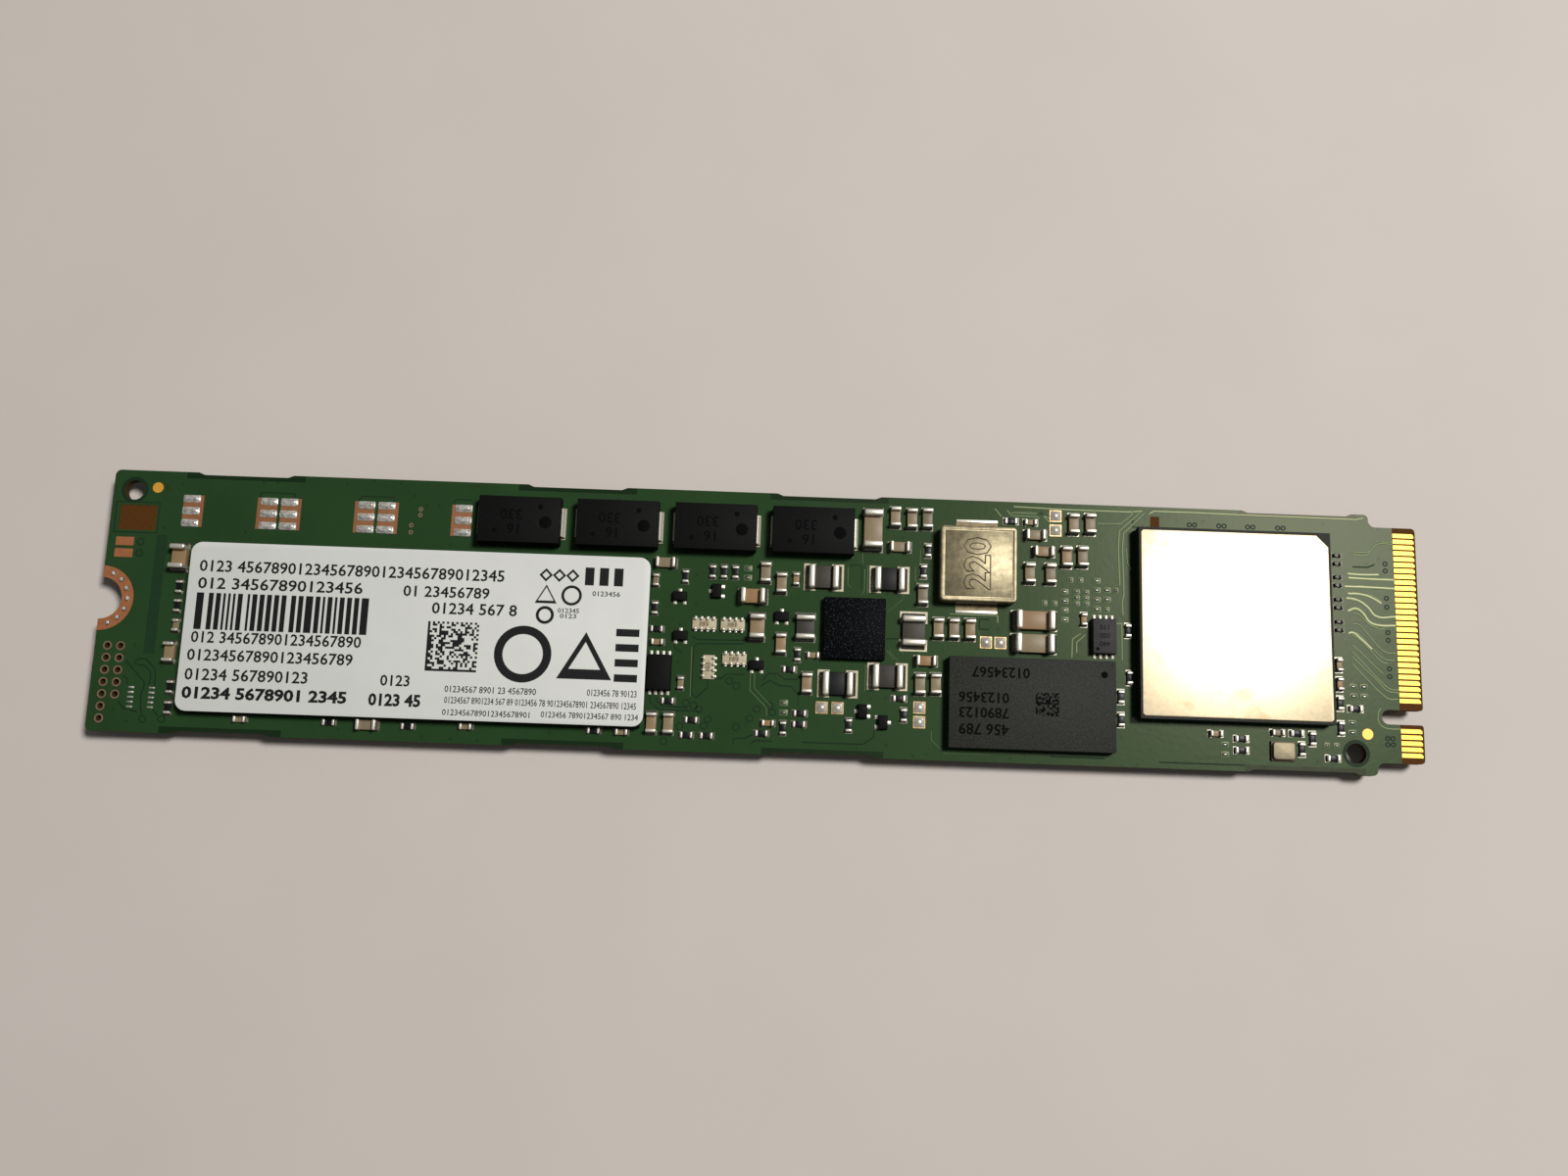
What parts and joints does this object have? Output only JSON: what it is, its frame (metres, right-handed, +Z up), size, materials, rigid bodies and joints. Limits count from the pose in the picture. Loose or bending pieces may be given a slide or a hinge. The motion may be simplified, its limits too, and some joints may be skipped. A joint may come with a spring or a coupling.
{
  "type": "gumstick solid state drive",
  "caption": "Bare gumstick solid state drive: long narrow circuit board with chips on both faces, a keyed edge connector at one end and a half-round screw notch at the other.",
  "frame": {"origin": "middle of the circuit board in plan, on the surface that the lower packages lie on", "axes": "+X along the board to the edge connector, +Y across the board to the first finger, +Z up out of the labelled face"},
  "size_m": [0.11, 0.022, 0.0034],
  "materials": {
    "board_laminate": "green solder mask on glass laminate, satin",
    "finger_gold": "hard gold plate, bright",
    "bare_copper": "bare copper under a clear preservative, satin",
    "solder": "reflowed solder, bright satin",
    "tinned_terminal": "matt tin plate",
    "package_mould": "filled epoxy mould, matt",
    "package_substrate": "green package laminate",
    "controller_mould": "filled epoxy mould, matt",
    "heat_spreader": "nickel plated copper, satin",
    "label_paper": "coated label stock, matt",
    "power_chip_mould": "epoxy mould, semi gloss",
    "holdup_mould": "black epoxy mould, matt",
    "inductor_core": "pressed iron powder, matt",
    "chip_inductor_core": "pressed ferrite, matt",
    "capacitor_ceramic": "fired tan ceramic, satin",
    "resistor_ceramic": "black glazed alumina",
    "array_ceramic": "pale glazed alumina",
    "small_chip_mould": "black epoxy mould, matt",
    "crystal_ceramic": "dark fired ceramic",
    "crystal_can": "nickel iron can, satin"
  },
  "bodies": {
    "root": {"circuit_board": "board_laminate", "connector_fingers_top": "finger_gold", "connector_fingers_under": "finger_gold", "fiducials": "finger_gold", "screw_ring_top": "bare_copper", "screw_ring_under": "bare_copper", "copper_test_pads": "bare_copper", "holdup_capacitor_lands": "bare_copper", "jumper_pads": "bare_copper", "chip_inductor_lands": "bare_copper", "power_inductor_lands": "bare_copper", "bare_solder_pads": "solder", "jumper_solder": "solder", "holdup_land_solder": "solder", "flash_solder_balls": "solder", "memory_solder_balls": "solder", "controller_solder_balls": "solder", "capacitor_1206_ends": "tinned_terminal", "capacitor_0805_ends": "tinned_terminal", "capacitor_0603_ends": "tinned_terminal", "capacitor_0402_ends": "tinned_terminal", "coupling_capacitor_ends": "tinned_terminal", "underside_capacitor_ends": "tinned_terminal", "resistor_ends": "tinned_terminal", "chip_inductor_ends": "tinned_terminal", "small_inductor_ends": "tinned_terminal", "resistor_array_terminals": "tinned_terminal", "transistor_leads": "tinned_terminal", "leaded_chip_leads": "tinned_terminal", "power_inductor_terminals": "tinned_terminal", "holdup_capacitor_terminals": "tinned_terminal", "flash_moulds": "package_mould", "memory_moulds": "package_mould", "flash_substrates": "package_substrate", "memory_substrates": "package_substrate", "controller_substrate": "package_substrate", "controller_mould": "controller_mould", "controller_heat_spreader": "heat_spreader", "label": "label_paper", "power_chip": "power_chip_mould", "holdup_capacitor_bodies": "holdup_mould", "power_inductor_core": "inductor_core", "chip_inductor_bodies": "chip_inductor_core", "small_inductor_bodies": "chip_inductor_core", "capacitor_1206_bodies": "capacitor_ceramic", "capacitor_0805_bodies": "capacitor_ceramic", "capacitor_0603_bodies": "capacitor_ceramic", "capacitor_0402_bodies": "capacitor_ceramic", "coupling_capacitor_bodies": "capacitor_ceramic", "underside_capacitor_bodies": "capacitor_ceramic", "resistor_bodies": "resistor_ceramic", "resistor_array_bodies": "array_ceramic", "transistor_bodies": "small_chip_mould", "leaded_chip_bodies": "small_chip_mould", "crystal_base": "crystal_ceramic", "crystal_can": "crystal_can"}
  },
  "joints": []
}
